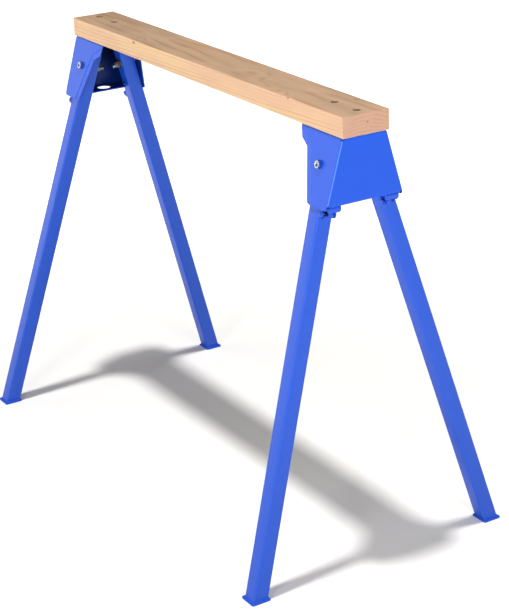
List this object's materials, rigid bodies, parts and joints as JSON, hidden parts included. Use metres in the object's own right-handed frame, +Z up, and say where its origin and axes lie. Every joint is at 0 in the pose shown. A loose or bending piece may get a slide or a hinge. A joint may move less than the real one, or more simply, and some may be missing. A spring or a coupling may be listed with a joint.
{
  "type": "folding sawhorse",
  "caption": "Folding sawhorse: a flat timber beam on folded-steel end brackets, with splayed square-tube legs that swing in under the beam and lock with sprung latches.",
  "frame": {"origin": "on the floor, under the middle of the beam", "axes": "+X along the beam to the right-hand end, +Y to the rear, +Z up"},
  "size_m": [1.0028, 0.5234, 0.785],
  "materials": {
    "timber": "planed softwood, unfinished",
    "bracket_paint": "powder-coated sheet steel, satin",
    "leg_paint": "powder-coated steel tube and plate, satin",
    "latch_paint": "powder-coated steel, satin",
    "beam_fasteners": "zinc-plated steel",
    "pivot_fasteners": "zinc-plated steel",
    "thrust_washer": "natural nylon",
    "spring_steel": "oiled spring wire"
  },
  "bodies": {
    "frame": {"top_beam": "timber", "beam_bolt_left_outer": "beam_fasteners", "beam_washer_left_outer": "beam_fasteners", "beam_nut_left_outer": "beam_fasteners", "beam_bolt_left_inner": "beam_fasteners", "beam_washer_left_inner": "beam_fasteners", "beam_nut_left_inner": "beam_fasteners", "beam_bolt_right_outer": "beam_fasteners", "beam_washer_right_outer": "beam_fasteners", "beam_nut_right_outer": "beam_fasteners", "beam_bolt_right_inner": "beam_fasteners", "beam_washer_right_inner": "beam_fasteners", "beam_nut_right_inner": "beam_fasteners", "bracket_left": "bracket_paint", "bracket_right": "bracket_paint", "pivot_bolt_front_left": "pivot_fasteners", "pivot_nut_front_left": "pivot_fasteners", "pivot_sleeve_front_left": "pivot_fasteners", "leg_washer_front_left": "thrust_washer", "nut_washer_front_left": "pivot_fasteners", "pivot_bolt_rear_left": "pivot_fasteners", "pivot_nut_rear_left": "pivot_fasteners", "pivot_sleeve_rear_left": "pivot_fasteners", "leg_washer_rear_left": "thrust_washer", "nut_washer_rear_left": "pivot_fasteners", "pivot_bolt_front_right": "pivot_fasteners", "pivot_nut_front_right": "pivot_fasteners", "pivot_sleeve_front_right": "pivot_fasteners", "leg_washer_front_right": "thrust_washer", "nut_washer_front_right": "pivot_fasteners", "pivot_bolt_rear_right": "pivot_fasteners", "pivot_nut_rear_right": "pivot_fasteners", "pivot_sleeve_rear_right": "pivot_fasteners", "leg_washer_rear_right": "thrust_washer", "nut_washer_rear_right": "pivot_fasteners"},
    "leg_front_left": {"leg_front_left": "leg_paint", "foot_plate_front_left": "leg_paint", "latch_pin_front_left": "pivot_fasteners", "latch_spring_front_left": "spring_steel"},
    "latch_front_left": {"latch_front_left": "latch_paint"},
    "leg_rear_left": {"leg_rear_left": "leg_paint", "foot_plate_rear_left": "leg_paint", "latch_pin_rear_left": "pivot_fasteners", "latch_spring_rear_left": "spring_steel"},
    "latch_rear_left": {"latch_rear_left": "latch_paint"},
    "leg_front_right": {"leg_front_right": "leg_paint", "foot_plate_front_right": "leg_paint", "latch_pin_front_right": "pivot_fasteners", "latch_spring_front_right": "spring_steel"},
    "latch_front_right": {"latch_front_right": "latch_paint"},
    "leg_rear_right": {"leg_rear_right": "leg_paint", "foot_plate_rear_right": "leg_paint", "latch_pin_rear_right": "pivot_fasteners", "latch_spring_rear_right": "spring_steel"},
    "latch_rear_right": {"latch_rear_right": "latch_paint"}
  },
  "joints": [
    {"name": "fold_front_left", "type": "hinge", "parent": "frame", "child": "leg_front_left", "pos_m": [-0.4175, -0.04041, 0.69507], "axis": [0, -0.9598, 0.2807], "range_deg": [0, 97.6]},
    {"name": "release_front_left", "type": "hinge", "parent": "leg_front_left", "child": "latch_front_left", "pos_m": [-0.44381, -0.06116, 0.62412], "axis": [0, -0.9598, 0.2807], "range_deg": [0, 14], "stiffness_Nm_per_rad": 0.5, "springref_deg": -17.19, "deforming": ["latch_spring_front_left"]},
    {"name": "fold_rear_left", "type": "hinge", "parent": "frame", "child": "leg_rear_left", "pos_m": [-0.4175, 0.04041, 0.69507], "axis": [0, -0.9598, -0.2807], "range_deg": [0, 97.6]},
    {"name": "release_rear_left", "type": "hinge", "parent": "leg_rear_left", "child": "latch_rear_left", "pos_m": [-0.44381, 0.06116, 0.62412], "axis": [0, -0.9598, -0.2807], "range_deg": [0, 14], "stiffness_Nm_per_rad": 0.5, "springref_deg": -17.19, "deforming": ["latch_spring_rear_left"]},
    {"name": "fold_front_right", "type": "hinge", "parent": "frame", "child": "leg_front_right", "pos_m": [0.4175, -0.04041, 0.69507], "axis": [0, 0.9598, -0.2807], "range_deg": [0, 92.6]},
    {"name": "release_front_right", "type": "hinge", "parent": "leg_front_right", "child": "latch_front_right", "pos_m": [0.44381, -0.06116, 0.62412], "axis": [0, 0.9598, -0.2807], "range_deg": [0, 14], "stiffness_Nm_per_rad": 0.5, "springref_deg": -17.19, "deforming": ["latch_spring_front_right"]},
    {"name": "fold_rear_right", "type": "hinge", "parent": "frame", "child": "leg_rear_right", "pos_m": [0.4175, 0.04041, 0.69507], "axis": [0, 0.9598, 0.2807], "range_deg": [0, 92.6]},
    {"name": "release_rear_right", "type": "hinge", "parent": "leg_rear_right", "child": "latch_rear_right", "pos_m": [0.44381, 0.06116, 0.62412], "axis": [0, 0.9598, 0.2807], "range_deg": [0, 14], "stiffness_Nm_per_rad": 0.5, "springref_deg": -17.19, "deforming": ["latch_spring_rear_right"]}
  ]
}
